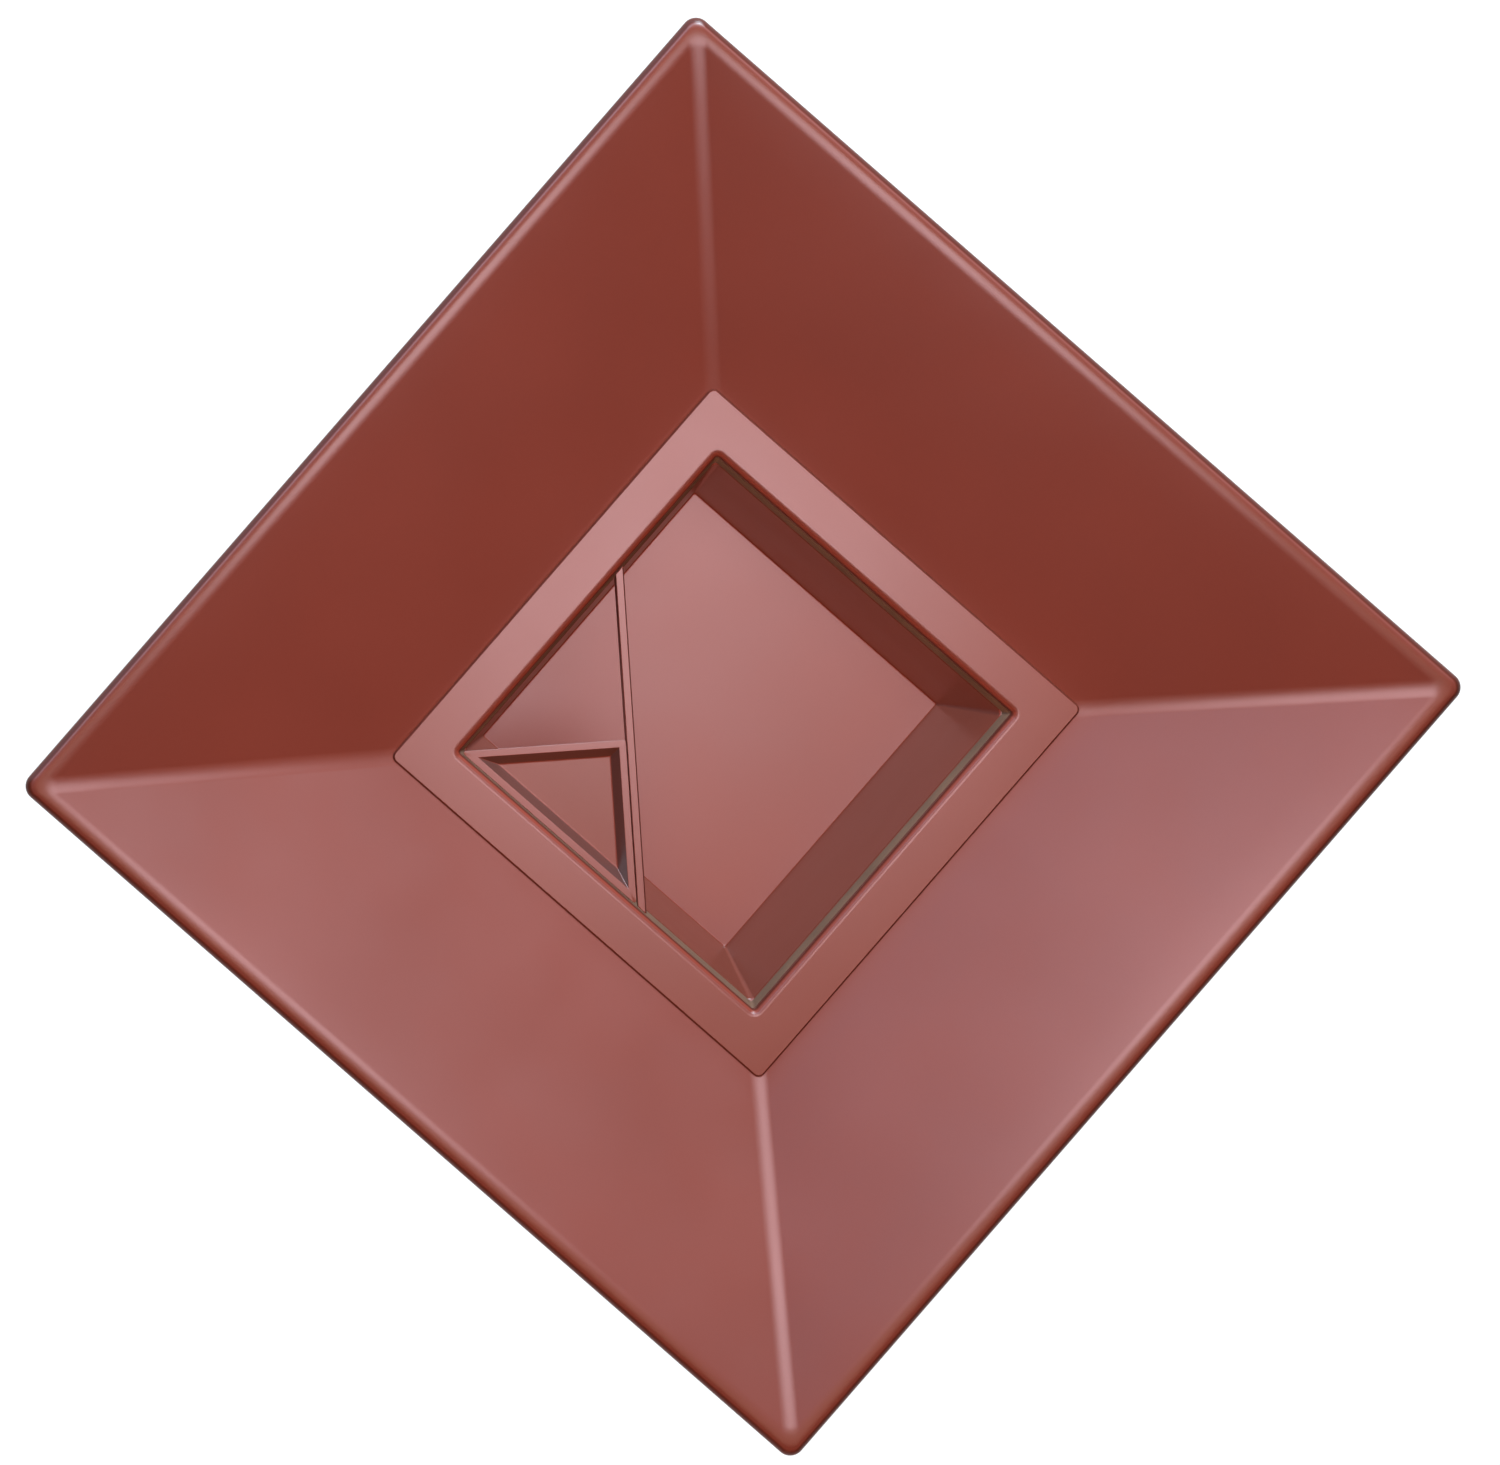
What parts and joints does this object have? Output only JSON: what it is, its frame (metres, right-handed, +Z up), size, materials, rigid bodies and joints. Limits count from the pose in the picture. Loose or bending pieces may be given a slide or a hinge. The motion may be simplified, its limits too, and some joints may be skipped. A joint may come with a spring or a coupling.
{
  "type": "resin casting mould",
  "caption": "Square resin casting mould: shallow dish with a rounded lip round a deep drafted well, with a lift-out divider strip and triangular corner insert.",
  "frame": {"origin": "on the ground, below the middle of the well", "axes": "+Z up out of the mould's mouth; X and Y run straight across the square's sides, and the divided corner of the well is at -X, -Y"},
  "size_m": [0.18, 0.18, 0.0801],
  "materials": {
    "mould_silicone": "satin terracotta silicone, faint sheen",
    "mould_plastic": "satin terracotta plastic",
    "seal_rubber": "matt olive-grey rubber",
    "clamp_aluminium": "lightly brushed",
    "screw_steel": "plain machined"
  },
  "bodies": {
    "mould": {"pour_tray": "mould_silicone", "well_cup": "mould_silicone", "well_frame": "mould_plastic", "well_gasket": "seal_rubber", "clamp_frame": "clamp_aluminium", "clamp_screw_1": "screw_steel", "clamp_screw_2": "screw_steel", "clamp_screw_3": "screw_steel", "clamp_screw_4": "screw_steel", "clamp_screw_5": "screw_steel", "clamp_screw_6": "screw_steel", "clamp_screw_7": "screw_steel", "clamp_screw_8": "screw_steel"},
    "strip": {"divider_strip": "mould_plastic"},
    "insert": {"corner_insert": "mould_plastic"}
  },
  "joints": [
    {"name": "strip_lift", "type": "slide", "parent": "mould", "child": "strip", "axis": [0, 0, 1], "range_m": [0, 0.04]},
    {"name": "insert_lift", "type": "slide", "parent": "strip", "child": "insert", "axis": [0, 0, 1], "range_m": [0, 0.04]}
  ]
}
